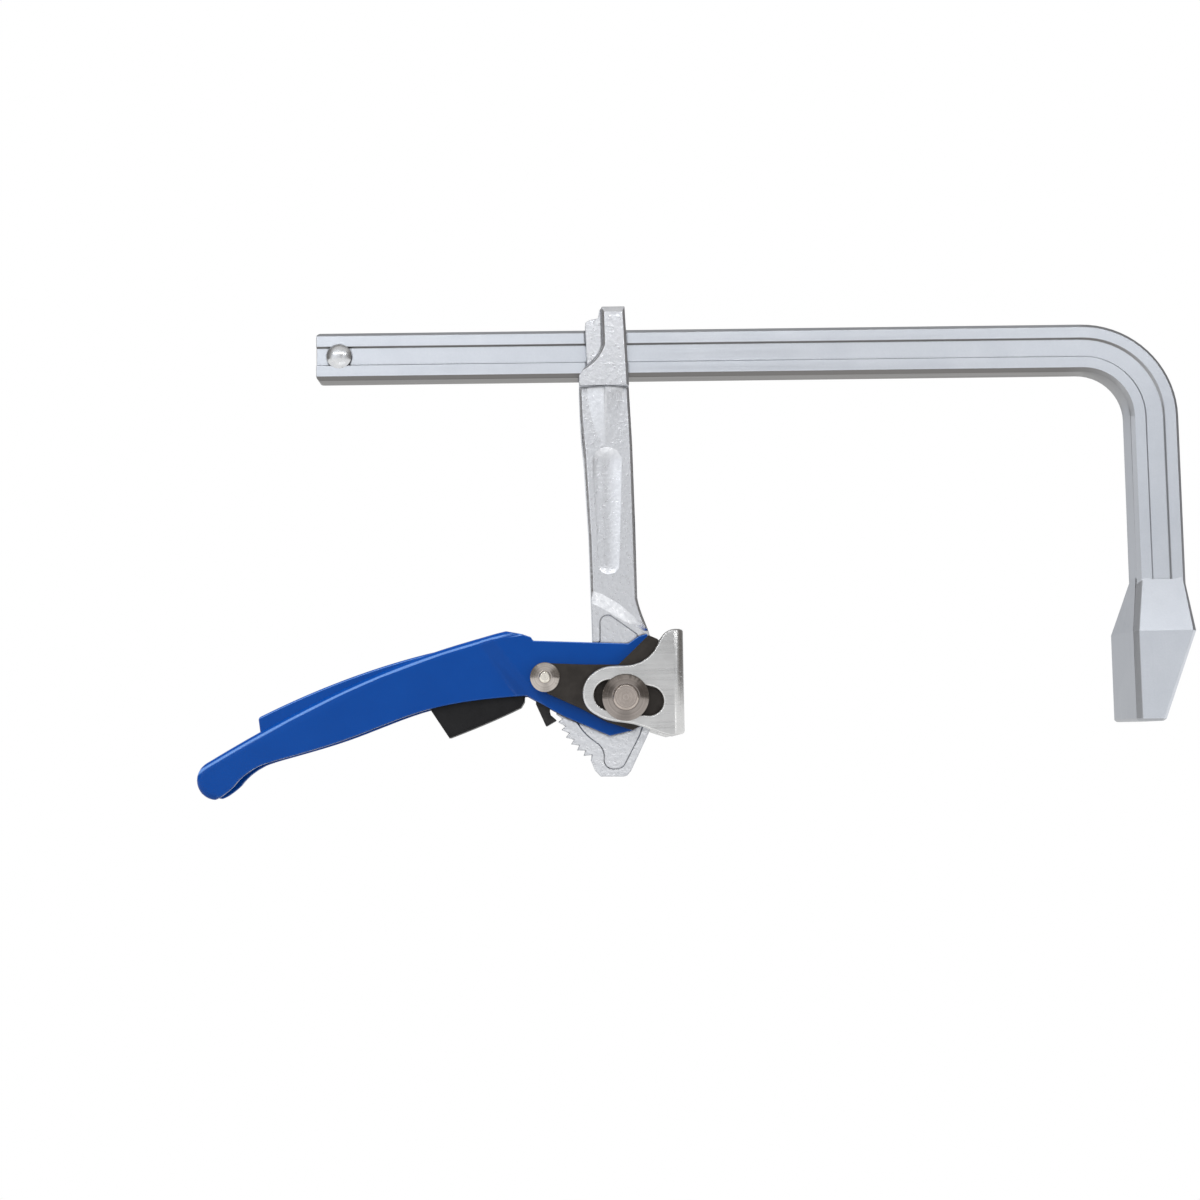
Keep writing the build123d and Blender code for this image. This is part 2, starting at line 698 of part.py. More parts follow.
def pawl_outline():
    """Outline of the pawl with its nose down in the teeth."""
    throat_radius = TOOTH_TIP_RADIUS + 2 * NOSE_GAP
    inner = [below_level(throat_radius, angle) for angle in (9, 5, 0, -4)]
    body = outline_of([
        *nose_points(),
        *inner,
        (PAWL_PIN_X + 0.7 * PAWL_BOSS_RADIUS, PAWL_PIN_Z - 0.7 * PAWL_BOSS_RADIUS),
        (PAWL_PIN_X, PAWL_PIN_Z),
        (PAWL_PIN_X - PAWL_BOSS_RADIUS, PAWL_PIN_Z),
        at_pawl_pin(-2.9, -12.1),
    ])
    return body + Pos(PAWL_PIN_X, PAWL_PIN_Z) * Circle(PAWL_BOSS_RADIUS)


def tail_outline():
    """Outline of the thin tail that carries the trigger, with the nose lifted."""
    return outline_of([
        at_pawl_pin(-1.2, 4.1),
        at_pawl_pin(-TAIL_LENGTH, -0.5),
        at_pawl_pin(-TAIL_LENGTH, -6.0),
        at_pawl_pin(-2.7, -3.5),
    ])


def pawl():
    """Steel pawl, lifted so that its nose just rides over the teeth."""
    nose_half = PAWL_THICK / 2
    pivot = Axis((PAWL_PIN_X, 0, PAWL_PIN_Z), (0, 1, 0))
    body = centred_slab(pawl_outline(), nose_half).rotate(pivot, PAWL_LIFT)
    body += centred_slab(tail_outline(), TAIL_THICK / 2)
    bore = rod(PAWL_PIN_X, PAWL_PIN_Z, PAWL_PIN_RADIUS + RUN_FIT, -BIG, BIG)
    return on_arm(body - bore)


def trigger_outline():
    tip_high = at_pawl_pin(-52.0, -13.1)
    tip_low = at_pawl_pin(-43.4, -26.2)
    heel_high = at_pawl_pin(-10.3, 2.3)
    heel_low = at_pawl_pin(-10.9, -12.7)
    upper = Spline(tip_high, at_pawl_pin(-40.7, -3.5), at_pawl_pin(-24.7, 2.7), heel_high)
    right = Polyline(heel_high, at_pawl_pin(-9.3, -6.0), at_pawl_pin(-9.6, -10.5), heel_low)
    lower = Spline(heel_low, at_pawl_pin(-25.2, -19.1), tip_low)
    left = Line(tip_low, tip_high)
    return make_face([*upper.edges(), *right.edges(), *lower.edges(), *left.edges()])


def trigger():
    """Moulded trigger, pressed onto the tail of the pawl."""
    body = centred_slab(trigger_outline(), TRIGGER_WIDTH / 2)
    return on_arm(body - centred_slab(tail_outline(), TAIL_THICK / 2))


def spring_path():
    """Middle line of the wire: a coil about the pawl pin with a leg at each end."""
    leg_run = WEB_LEG * SPRING_PITCH / (2 * math.pi * SPRING_COIL_RADIUS)
    y_front = -FORK_INNER + SLIDE_GAP + SPRING_WIRE_RADIUS + leg_run
    height = SPRING_TURNS * SPRING_PITCH
    coil = Rot(-90, 0, 0) * Rot(0, 0, -SPRING_START) * Helix(SPRING_PITCH, height, SPRING_COIL_RADIUS)
    coil = Pos(PAWL_PIN_X, y_front, PAWL_PIN_Z) * coil
    start = coil @ 0
    end = coil @ 1
    web_leg = Line(start - (coil % 0) * WEB_LEG, start)
    hook_leg = Line(end, end + (coil % 1) * HOOK_LEG)
    return web_leg + coil + hook_leg


def pawl_spring():
    """Torsion spring round the front spacer, with one leg up to the web of the handle."""
    path = spring_path()
    section = Plane(origin=path @ 0, z_dir=path % 0) * RegularPolygon(SPRING_WIRE_RADIUS, 8)
    return on_arm(sweep(section, path, is_frenet=True))


# Pressure plate


def ear_outline():
    """Side outline of the ears, with the web as its right edge."""
    face = PLATE_REST + PLATE_THICK
    top = Spline((-14.2, 10.9), (-9.0, 13.5), (4.2, 14.7), (13.3, 21.3), (17.0, 27.6), (face - 4.0, PLATE_TOP))
    web = Polyline((face - 4.0, PLATE_TOP), (face, PLATE_TOP), (face, PLATE_FOOT + 1.4), (19.9, PLATE_FOOT))
    foot = Spline((19.9, PLATE_FOOT), (11.0, -14.4), (3.8, -11.9), (-7.3, -10.0), (-12.9, -7.5))
    nose = ThreePointArc((-12.9, -7.5), (-18.9, 1.6), (-14.2, 10.9))
    return make_face([*top.edges(), *web.edges(), *foot.edges(), *nose.edges()])


def plate_plan():
    """Bent strip seen from above: web on the right, an ear on each side."""
    face = PLATE_REST + PLATE_THICK
    far = -60
    outer = Pos((face + far) / 2, 0) * Rectangle(face - far, 2 * EAR_OUTER)
    inner = Pos((PLATE_REST + far) / 2, 0) * Rectangle(PLATE_REST - far, 2 * EAR_INNER)
    outer = fillet(outer.vertices().group_by(Axis.X)[-1], PLATE_INNER_BEND + PLATE_THICK)
    inner = fillet(inner.vertices().group_by(Axis.X)[-1], PLATE_INNER_BEND)
    return outer - inner


def pressure_plate():
    bent = extrude(plate_plan(), 60, both=True)
    body = bent & centred_slab(ear_outline(), BIG)
    middle = (SLOT_LEFT + SLOT_RIGHT) / 2
    length = SLOT_RIGHT - SLOT_LEFT
    slot = Pos(middle, -middle * math.tan(math.radians(SLOT_TILT))) * Rot(0, 0, -SLOT_TILT)
    slot = slot * SlotCenterToCenter(length, 2 * (MAIN_PIN_RADIUS + SLOT_GAP))
    return on_arm(body - centred_slab(slot, BIG))


def build():
    """Every piece under its node name."""
    return {
        "rail": rail(),
        "stop_rivet": stop_rivet(),
        "sliding_arm": sliding_arm(),
        "main_pin": main_pin(),
        "main_pin_collar_front": main_pin_collar(-1),
        "main_pin_collar_rear": main_pin_collar(1),
        "handle": handle(),
        "cam_plate_front": cam_plate(-1),
        "cam_plate_rear": cam_plate(1),
        "pawl_pin": pawl_pin(),
        "pawl_pin_collar_front": pawl_pin_collar(-1),
        "pawl_pin_collar_rear": pawl_pin_collar(1),
        "pawl_spacer_front": pawl_spacer_front(),
        "pawl_spacer_rear": pawl_spacer_rear(),
        "pawl": pawl(),
        "trigger": trigger(),
        "pawl_spring": pawl_spring(),
        "pressure_plate": pressure_plate(),
    }


os.makedirs("parts", exist_ok=True)
for node, shape in build().items():
    export_step(shape, f"parts/{node}.step")
    print(node, round(shape.volume, 1), len(shape.solids()))
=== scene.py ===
import math

import bmesh
import bpy
from mathutils import Matrix, Vector


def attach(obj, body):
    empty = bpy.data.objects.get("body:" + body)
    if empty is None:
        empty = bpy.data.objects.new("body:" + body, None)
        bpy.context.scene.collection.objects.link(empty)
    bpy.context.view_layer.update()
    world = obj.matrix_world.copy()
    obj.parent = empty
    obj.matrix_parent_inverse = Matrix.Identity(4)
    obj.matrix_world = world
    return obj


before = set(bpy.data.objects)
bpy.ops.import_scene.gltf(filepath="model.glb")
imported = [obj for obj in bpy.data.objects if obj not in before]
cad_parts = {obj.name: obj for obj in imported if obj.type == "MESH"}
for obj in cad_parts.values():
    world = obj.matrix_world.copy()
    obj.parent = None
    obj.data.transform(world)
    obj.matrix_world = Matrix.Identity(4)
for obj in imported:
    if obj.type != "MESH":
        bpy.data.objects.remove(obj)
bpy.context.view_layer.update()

# Metres, in the frame of the CAD model: +X right, +Y back, +Z up.

# Places taken from the CAD model
MAIN_PIN = Vector((-0.2265, 0.0, -0.007))
PAWL_PIN = MAIN_PIN + Vector((-0.03534, 0.0, 0.00953))
BEND_CENTRE = Vector((-0.0149, 0.0, 0.119))

# Camera, at the place and angle of the photograph
CAMERA_PLACE = (-0.25068, -0.58825, -0.02986)
CAMERA_PITCH = math.radians(3.8)
CAMERA_ROLL = math.radians(0.7)
CAMERA_LENS = 39.0
CAMERA_SENSOR = 36.0
CAMERA_SHIFT = (0.025, 0.0533)

# Floor, with a greyer patch of painted shade under the clamp
FLOOR_LEVEL = -0.26
FLOOR_SIZE = 30.0
FLOOR_TONE = 0.50
FLOOR_ROUGHNESS = 0.9
FLOOR_GREY_CENTRE = (-0.23, -0.12, 0.0)
FLOOR_GREY_REACH = (0.17, 0.22)
FLOOR_GREY_FADE = (0.25, 1.0)
FLOOR_GREY_LIFT = 0.45

# Surroundings: plain light from all round, and a soft studio that shows in reflections.
# Each range is measured on a direction of length 1: in depth, to the left, right or up.
WHITE = (1.0, 1.0, 1.0)
DIFFUSE_SKY = (0.50, 0.50, 0.50)
STUDIO_BRIGHT = (0.77, 0.78, 0.80)
STUDIO_DARK = (0.20, 0.19, 0.18)
BRIGHT_DEPTH = (0.35, 0.72)
LEFT_RISE = (0.15, 0.50)
LEFT_SHARE = 1.5
RIGHT_FALL = (-0.10, 0.18)
RIGHT_SHARE = 0.38
RIGHT_RISE = (0.28, 0.42)
FAR_RIGHT_SHARE = 1.6
RIGHT_END = (0.46, 0.58)
OVERHEAD = (0.75, 0.74, 0.73)
OVERHEAD_HEIGHT = (0.55, 0.85)
OVERHEAD_FRONT = (0.0, 0.3)

# Lamps
LAMP_AIM = (-0.2, 0, 0.05)
LOW_CARD_AIM = (-0.2, 0, 0.045)

# Rounded edges of the CAD nodes, which catch the light
EDGE_ANGLE = math.radians(40)
EDGE_SEGMENTS = 2
FLAT_ANGLE = math.radians(0.5)
WELD_DISTANCE = 0.000005
ARM_WELD_DISTANCE = 0.0002
TURNED_BEVEL = 0.00015
STEEL_BEVEL = 0.0003
SHEET_BEVEL = 0.0004
MOULDED_BEVEL = 0.0006
BENT_BEVEL = 0.0009

# Painted light: painted shade along the arm's edges, in corners and on the inner side of the rail, and
# painted highlights along the blue coat's edges and folds
NOISE_MIDDLE = (0.3, 0.7)
EDGE_LIKENESS = (0.90, 0.99)
EDGE_SAMPLES = 6
# Painted shade: dark lines along the arm's edges
EDGE_SHADE_REACH = 0.0008
EDGE_PAINTED_SHADE = (0.20, 0.21, 0.23)
# Painted highlight: paler lines along the blue coat's edges
COAT_REACH = 0.0009
COAT_EDGE_PAINTED_HIGHLIGHT = (0.05, 0.17, 0.55)
# Painted highlight: a paler line along the grip's folds
FOLD_PAINTED_HIGHLIGHT = (0.16, 0.34, 0.80)
FOLD_HIGHLIGHT_START = (0.16, 0.30)
FOLD_HIGHLIGHT_END = (0.42, 0.56)
# Painted shade in inner corners
CREVICE_REACH = 0.0016
CREVICE_SAMPLES = 8
CREVICE_OPENNESS = (0.62, 0.88)
CREVICE_PAINTED_SHADE = (0.10, 0.10, 0.11)
# Painted shade on the inner side of the rail
INNER_SIDE = (-0.5, -0.2)
INNER_SIDE_PAINTED_SHADE = (0.20, 0.195, 0.19)
LEG_START = (-0.03, 0.03)
LEG_PLAIN_SHARE = 0.45
LEG_UNSHADED_SHARE = 0.85

# Lip along the lower edge of the trigger, points measured from the pawl pin
LIP_EDGE = ((-0.0109, 0, -0.0127), (-0.0252, 0, -0.0191), (-0.0434, 0, -0.0262))
LIP_DOWN = Vector((-0.4, 0, -0.9)).normalized()
LIP_HEIGHT = 0.0013
LIP_OVERHANG = 0.0003
LIP_ROUND = 0.00025
LIP_STEPS = 10
TRIGGER_HALF = 0.0052

# Crown pressed up on top of the grip, points measured from the main pin
CROWN_TOP = ((-0.1642, 0, -0.00661), (-0.122, 0, 0.01118), (-0.080, 0, 0.02306))
CROWN_FOOT = ((-0.1631, 0, -0.01461), (-0.122, 0, 0.00598), (-0.080, 0, 0.02176))
CROWN_HALF = 0.0062
CROWN_ROUND = 0.0011
CROWN_SEGMENTS = 4
CROWN_STEPS = 28


# Node helpers


def material_named(name, colour, metallic, roughness):
    """New material whose plain values stand on the shader's own sockets."""
    material = bpy.data.materials.new(name)
    material.use_nodes = True
    shader = shader_of(material)
    shader.inputs["Base Color"].default_value = (*colour, 1.0)
    shader.inputs["Metallic"].default_value = metallic
    shader.inputs["Roughness"].default_value = roughness
    return material


def shader_of(material):
    """The shader that every material starts with."""
    return material.node_tree.nodes["Principled BSDF"]


def add(tree, kind, links=None, values=None, **settings):
    """New node with its settings, input values and incoming links."""
    node = tree.nodes.new(kind)
    for name, value in settings.items():
        setattr(node, name, value)
    for name, value in (values or {}).items():
        node.inputs[name].default_value = value
    for name, source in (links or {}).items():
        tree.links.new(source, node.inputs[name])
    return node


def place(tree):
    """Coordinates fixed to the piece, in metres."""
    return add(tree, "ShaderNodeTexCoord").outputs["Object"]


def facing(tree):
    """Direction in which the surface of the piece faces, as X, Y and Z."""
    normal = add(tree, "ShaderNodeTexCoord").outputs["Normal"]
    return add(tree, "ShaderNodeSeparateXYZ", {0: normal}).outputs


def math_node(tree, operation, first, second):
    """Arithmetic on two values, each a socket or a number."""
    node = add(tree, "ShaderNodeMath", operation=operation)
    for index, value in enumerate((first, second)):
        if isinstance(value, (int, float)):
            node.inputs[index].default_value = value
        else:
            tree.links.new(value, node.inputs[index])
    return node.outputs[0]


def vector_node(tree, operation, vector, value):
    """Arithmetic on a vector and a fixed one."""
    node = add(tree, "ShaderNodeVectorMath", {0: vector}, {1: value}, operation=operation)
    return node.outputs["Vector"]


def length_of(tree, vector):
    """Length of a vector."""
    return add(tree, "ShaderNodeVectorMath", {0: vector}, operation="LENGTH").outputs["Value"]


def blend(tree, first, first_share, second, second_share):
    """Sum of two patterns, each with its share."""
    first = math_node(tree, "MULTIPLY", first, first_share)
    return math_node(tree, "ADD", first, math_node(tree, "MULTIPLY", second, second_share))


def colour_mix(tree, share, first, second, **settings):
    """Mix of two colours, each a socket or a shade, by the share of the second."""
    node = add(tree, "ShaderNodeMix", {"Factor": share}, data_type="RGBA", **settings)
    for name, colour in (("A", first), ("B", second)):
        if isinstance(colour, tuple):
            node.inputs[name].default_value = (*colour, 1.0)
        else:
            tree.links.new(colour, node.inputs[name])
    return node.outputs["Result"]


def noise(tree, scale, detail=3.0, roughness=0.5, stretch=(1, 1, 1)):
    """Noise that can be stretched along an axis with a small number in stretch."""
    spread = add(tree, "ShaderNodeMapping", {"Vector": place(tree)}, {"Scale": stretch})
    values = {"Scale": scale, "Detail": detail, "Roughness": roughness}
    node = add(tree, "ShaderNodeTexNoise", {"Vector": spread.outputs[0]}, values)
    return node.outputs[0]


def spread_over(tree, value, low, high, source=NOISE_MIDDLE, **settings):
    """A value in the source range, spread over the range from low to high."""
    limits = {"From Min": source[0], "From Max": source[1], "To Min": low, "To Max": high}
    return add(tree, "ShaderNodeMapRange", {"Value": value}, limits, **settings).outputs[0]


def smooth_step(tree, value, source, low, high):
    """Soft change from low to high while a value passes the source range."""
    return spread_over(tree, value, low, high, source, interpolation_type="SMOOTHSTEP")


def tint(material, value, dark, light):
    """Colour between two shades, by a value from 0 to 1."""
    tree = material.node_tree
    tree.links.new(colour_mix(tree, value, dark, light), shader_of(material).inputs["Base Color"])


def gloss(material, value, low, high):
    """Roughness between two values."""
    tree = material.node_tree
    spread = spread_over(tree, value, low, high)
    tree.links.new(spread, shader_of(material).inputs["Roughness"])


def relief(material, heights):
    """Bumps from (height socket, depth in metres) pairs, one on top of the other."""
    tree = material.node_tree
    normal = None
    for height, depth in heights:
        links = {"Height": height}
        if normal:
            links["Normal"] = normal
        bump = add(tree, "ShaderNodeBump", links, {"Strength": 1.0, "Distance": depth})
        normal = bump.outputs[0]
    tree.links.new(normal, shader_of(material).inputs["Normal"])


# Finishes laid over a material


def overlay(material, shade, plain_share):
    """Lays a shade over the material's colour wherever the share of plain finish is low."""
    tree = material.node_tree
    base = shader_of(material).inputs["Base Color"]
    plain = base.links[0].from_socket
    tree.links.new(colour_mix(tree, plain_share, shade, plain), base)


def paint_edge_light_and_shade(material, shade, reach):
    """Painted light along the outer and inner edges, in the given colour: painted shade on the arm, a
    painted highlight on the blue coat.
    """
    tree = material.node_tree
    rounded = add(tree, "ShaderNodeBevel", None, {"Radius": reach}, samples=EDGE_SAMPLES)
    true_normal = add(tree, "ShaderNodeNewGeometry").outputs["True Normal"]
    normals = {0: rounded.outputs[0], 1: true_normal}
    likeness = add(tree, "ShaderNodeVectorMath", normals, operation="DOT_PRODUCT").outputs["Value"]
    overlay(material, shade, smooth_step(tree, likeness, EDGE_LIKENESS, 0, 1))


def paint_inner_side_shade(material, shade, leg_share):
    """Painted shade on the inner side of the bent bar, less so on the leg."""
    tree = material.node_tree
    parts = facing(tree)
    outward = math_node(tree, "ADD", parts["X"], parts["Z"])
    plain_share = smooth_step(tree, outward, INNER_SIDE, 0, 1)
    overlay(material, shade, math_node(tree, "MAXIMUM", plain_share, leg_share))


def paint_crevice_shade(material, unshaded_share=None):
    """Painted shade in the inner corners, less where the unshaded share is high."""
    tree = material.node_tree
    reach = {"Distance": CREVICE_REACH}
    corner = add(tree, "ShaderNodeAmbientOcclusion", None, reach, samples=CREVICE_SAMPLES)
    plain_share = smooth_step(tree, corner.outputs["AO"], CREVICE_OPENNESS, 0, 1)
    if unshaded_share:
        plain_share = math_node(tree, "MAXIMUM", plain_share, unshaded_share)
    overlay(material, CREVICE_PAINTED_SHADE, plain_share)


def paint_fold_highlight(material):
    """Painted highlight: a paler line along the folds where the sides turn into the top."""
    tree = material.node_tree
    upward = facing(tree)["Z"]
    start = smooth_step(tree, upward, FOLD_HIGHLIGHT_START, 1, 0)
    end = smooth_step(tree, upward, FOLD_HIGHLIGHT_END, 0, 1)
    overlay(material, FOLD_PAINTED_HIGHLIGHT, math_node(tree, "MAXIMUM", start, end))


# Materials


def share_of_leg(tree):
    """0 along the bar of the rail, 1 down its leg, and a soft change in the bend."""
    parts = add(tree, "ShaderNodeSeparateXYZ", {0: place(tree)}).outputs
    past_bend = math_node(tree, "SUBTRACT", parts["X"], BEND_CENTRE.x)
    over_bend = math_node(tree, "SUBTRACT", parts["Z"], BEND_CENTRE.z)
    return spread_over(tree, math_node(tree, "SUBTRACT", past_bend, over_bend), 0, 1, LEG_START)


def zinc_rail():
    """Zinc plate over drawn steel, with faint lines along the bar and down the leg."""
    material = material_named("zinc_rail", (0.70, 0.72, 0.76), 1.0, 0.30)
    tree = material.node_tree
    along_bar = noise(tree, 90, 4, 0.6, (0.12, 14, 14))
    down_leg = noise(tree, 90, 4, 0.6, (14, 14, 0.12))
    on_leg = share_of_leg(tree)
    lines = {"Factor": on_leg, "A": along_bar, "B": down_leg}
    drawn = add(tree, "ShaderNodeMix", lines, data_type="FLOAT").outputs["Result"]
    clouds = noise(tree, 60, 5, 0.6)
    grain = noise(tree, 1300, 3, 0.7)
    mottled = blend(tree, clouds, 0.6, grain, 0.4)
    tint(material, spread_over(tree, mottled, 0.25, 0.75), (0.61, 0.645, 0.70), (0.76, 0.79, 0.84))
    # Painted shade on the inner side and in the corners of the rail, less on the leg
    paint_inner_side_shade(material, INNER_SIDE_PAINTED_SHADE, math_node(tree, "MULTIPLY", on_leg, LEG_PLAIN_SHARE))
    paint_crevice_shade(material, math_node(tree, "MULTIPLY", on_leg, LEG_UNSHADED_SHARE))
    gloss(material, drawn, 0.28, 0.40)
    relief(material, [(drawn, 0.00003), (grain, 0.00003)])
    return material


def forged_zinc():
    """Zinc plate over a forged skin: fine grain with a sparkle."""
    material = material_named("forged_zinc", (0.72, 0.735, 0.765), 1.0, 0.36)
    tree = material.node_tree
    clouds = noise(tree, 110, 6, 0.65)
    grain = noise(tree, 560, 2, 0.6)
    shade = blend(tree, grain, 0.8, clouds, 0.2)
    tint(material, spread_over(tree, shade, 0.36, 0.64), (0.50, 0.515, 0.55), (0.97, 0.98, 1.0))
    # Painted shade along the edges and in the corners of the arm
    paint_edge_light_and_shade(material, EDGE_PAINTED_SHADE, EDGE_SHADE_REACH)
    paint_crevice_shade(material)
    gloss(material, grain, 0.40, 0.25)
    pits = noise(tree, 600, 3, 0.6)
    relief(material, [(pits, 0.00016), (grain, 0.00011)])
    return material


def zinc_plate():
    """Bright zinc plate over rolled sheet, with lines along the sheet."""
    material = material_named("zinc_plate", (0.64, 0.64, 0.635), 1.0, 0.28)
    tree = material.node_tree
    rolled = noise(tree, 100, 4, 0.6, (0.15, 10, 10))
    clouds = noise(tree, 90, 4, 0.6)
    tint(material, spread_over(tree, clouds, 0, 1), (0.63, 0.63, 0.625), (0.74, 0.74, 0.735))
    gloss(material, rolled, 0.22, 0.36)
    relief(material, [(rolled, 0.00003), (noise(tree, 2000, 2), 0.00001)])
    return material


def rivet_steel():
    """Smooth plated rivet head with small dents from the setting tool."""
    material = material_named("rivet_steel", (0.72, 0.73, 0.75), 1.0, 0.24)
    tree = material.node_tree
    dents = noise(tree, 500, 2, 0.5)
    clouds = noise(tree, 300, 3)
    tint(material, spread_over(tree, clouds, 0, 1), (0.66, 0.67, 0.69), (0.76, 0.77, 0.78))
    gloss(material, dents, 0.20, 0.32)
    relief(material, [(dents, 0.00008)])
    return material


def turned_steel(name, centre, dark, light):
    """Turned steel with fine rings round an axis along Y."""
    material = material_named(name, light, 1.0, 0.25)
    tree = material.node_tree
    away = vector_node(tree, "MULTIPLY", vector_node(tree, "SUBTRACT", place(tree), centre), (1, 0, 1))
    ring = add(tree, "ShaderNodeCombineXYZ", {0: length_of(tree, away)}).outputs[0]
    rings = add(tree, "ShaderNodeTexNoise", {"Vector": ring}, {"Scale": 1400, "Detail": 2}).outputs[0]
    tint(material, spread_over(tree, rings, 0, 1), dark, light)
    gloss(material, noise(tree, 700, 3), 0.18, 0.26)
    relief(material, [(rings, 0.00001)])
    around = vector_node(tree, "CROSS_PRODUCT", away, (0, 1, 0))
    tree.links.new(around, shader_of(material).inputs["Tangent"])
    shader_of(material).inputs["Anisotropic"].default_value = 0.45
    return material


def dark_steel():
    """Blackened plate with a brownish bloom."""
    material = material_named("dark_steel", (0.045, 0.040, 0.036), 0.75, 0.42)
    tree = material.node_tree
    clouds = noise(tree, 140, 5, 0.6)
    tint(material, spread_over(tree, clouds, 0, 1), (0.036, 0.032, 0.029), (0.060, 0.053, 0.048))
    gloss(material, noise(tree, 120, 4, 0.6, (0.2, 8, 8)), 0.34, 0.50)
    relief(material, [(noise(tree, 1400, 3), 0.00003)])
    shader_of(material).inputs["Specular IOR Level"].default_value = 0.25
    return material


def black_steel():
    """Hardened pawl, dull black with a trace of oil."""
    material = material_named("black_steel", (0.022, 0.021, 0.021), 0.5, 0.45)
    tree = material.node_tree
    clouds = noise(tree, 260, 4, 0.6)
    tint(material, spread_over(tree, clouds, 0, 1), (0.014, 0.014, 0.015), (0.04, 0.038, 0.036))
    gloss(material, clouds, 0.32, 0.52)
    relief(material, [(noise(tree, 1200, 3), 0.00004)])
    return material


def spring_steel():
    """Bright wire and sleeves on the pawl pin."""
    material = material_named("spring_steel", (0.42, 0.42, 0.43), 1.0, 0.30)
    tree = material.node_tree
    clouds = noise(tree, 900, 3, 0.6)
    tint(material, spread_over(tree, clouds, 0, 1), (0.36, 0.35, 0.35), (0.48, 0.48, 0.49))
    gloss(material, clouds, 0.24, 0.38)
    relief(material, [(clouds, 0.00002)])
    return material


def blue_coat():
    """Glossy royal blue coat with a slight orange peel."""
    material = material_named("blue_coat", (0.001, 0.064, 0.335), 0.0, 0.28)
    tree = material.node_tree
    clouds = noise(tree, 45, 4, 0.55)
    tint(material, spread_over(tree, clouds, 0, 1), (0.0008, 0.072, 0.385), (0.0015, 0.080, 0.415))
    # Painted highlights along the edges and the folds of the coat
    paint_edge_light_and_shade(material, COAT_EDGE_PAINTED_HIGHLIGHT, COAT_REACH)
    paint_fold_highlight(material)
    gloss(material, noise(tree, 200, 3), 0.13, 0.19)
    relief(material, [(noise(tree, 480, 2, 0.5), 0.00003)])
    shader_of(material).inputs["Specular IOR Level"].default_value = 0.17
    return material


def black_plastic():
    """Moulded plastic with a fine spark texture."""
    material = material_named("black_plastic", (0.006, 0.006, 0.007), 0.0, 0.45)
    tree = material.node_tree
    spark = noise(tree, 1600, 2, 0.6)
    clouds = noise(tree, 150, 4)
    tint(material, spread_over(tree, clouds, 0, 1), (0.004, 0.004, 0.005), (0.010, 0.010, 0.011))
    gloss(material, spark, 0.40, 0.56)
    relief(material, [(spark, 0.00006)])
    shader_of(material).inputs["Specular IOR Level"].default_value = 0.25
    return material


# CAD nodes


def dress(names, material, bevel=0.0, weld_distance=WELD_DISTANCE):
    """Material for CAD nodes, with rounded edges if a bevel is given."""
    for name in names:
        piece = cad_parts[name]
        piece.data.materials.clear()
        piece.data.materials.append(material)
        if bevel > 0:
            join_flat_faces(piece, weld_distance)
            round_edges(piece, bevel, EDGE_SEGMENTS)


def join_flat_faces(piece, weld_distance):
    """Makes one face of the triangles that lie in one plane, so that only real edges are left."""
    weld = piece.modifiers.new("weld", "WELD")
    weld.merge_threshold = weld_distance
    flat = piece.modifiers.new("flat", "DECIMATE")
    flat.decimate_type = "DISSOLVE"
    flat.angle_limit = FLAT_ANGLE


def round_edges(piece, width, segments):
    """Rounds the sharp edges of a piece."""
    rounding = piece.modifiers.new("edges", "BEVEL")
    rounding.width = width
    rounding.segments = segments
    rounding.limit_method = "ANGLE"
    rounding.angle_limit = EDGE_ANGLE
    rounding.use_clamp_overlap = False
    rounding.harden_normals = True


def dress_all():
    """Every CAD node in its material."""
    # Lit and shaded copies of one turned steel: the main collars' darker tint is painted shade, the pawl pin
    # end's paler tint a painted highlight
    main_end = turned_steel("pin_end", MAIN_PIN, (0.46, 0.40, 0.36), (0.59, 0.525, 0.475))
    main_collar_painted_shade = turned_steel("collar_steel", MAIN_PIN, (0.28, 0.25, 0.23), (0.38, 0.34, 0.315))
    pawl_end_painted_light = turned_steel("pawl_pin_end", PAWL_PIN, (0.82, 0.77, 0.68), (0.96, 0.92, 0.83))
    pawl_cone = turned_steel("pawl_collar_steel", PAWL_PIN, (0.46, 0.42, 0.385), (0.60, 0.55, 0.51))
    dress(["rail"], zinc_rail(), STEEL_BEVEL)
    dress(["stop_rivet"], rivet_steel())
    dress(["sliding_arm"], forged_zinc(), STEEL_BEVEL, ARM_WELD_DISTANCE)
    dress(["pressure_plate"], zinc_plate(), BENT_BEVEL)
    dress(["main_pin"], main_end, TURNED_BEVEL)
    dress(["main_pin_collar_front", "main_pin_collar_rear"], main_collar_painted_shade, TURNED_BEVEL)
    dress(["pawl_pin"], pawl_end_painted_light, TURNED_BEVEL)
    dress(["pawl_pin_collar_front", "pawl_pin_collar_rear"], pawl_cone, TURNED_BEVEL)
    dress(["cam_plate_front", "cam_plate_rear"], dark_steel(), STEEL_BEVEL)
    dress(["handle"], blue_coat(), SHEET_BEVEL)
    dress(["pawl"], black_steel(), SHEET_BEVEL)
    dress(["trigger"], black_plastic(), MOULDED_BEVEL)
    dress(["pawl_spring", "pawl_spacer_front", "pawl_spacer_rear"], spring_steel())


# Small pieces on the CAD nodes


def curve_by(pin, places, steps):
    """Points on the parabola through three places measured from a pin, the second one halfway."""
    first, middle, last = [pin + Vector(place_by_pin) for place_by_pin in places]
    points = []
    for step in range(steps + 1):
        t = step / steps
        first_share = 2 * (t - 0.5) * (t - 1)
        middle_share = -4 * t * (t - 1)
        last_share = 2 * t * (t - 0.5)
        points.append(first * first_share + middle * middle_share + last * last_share)
    return points


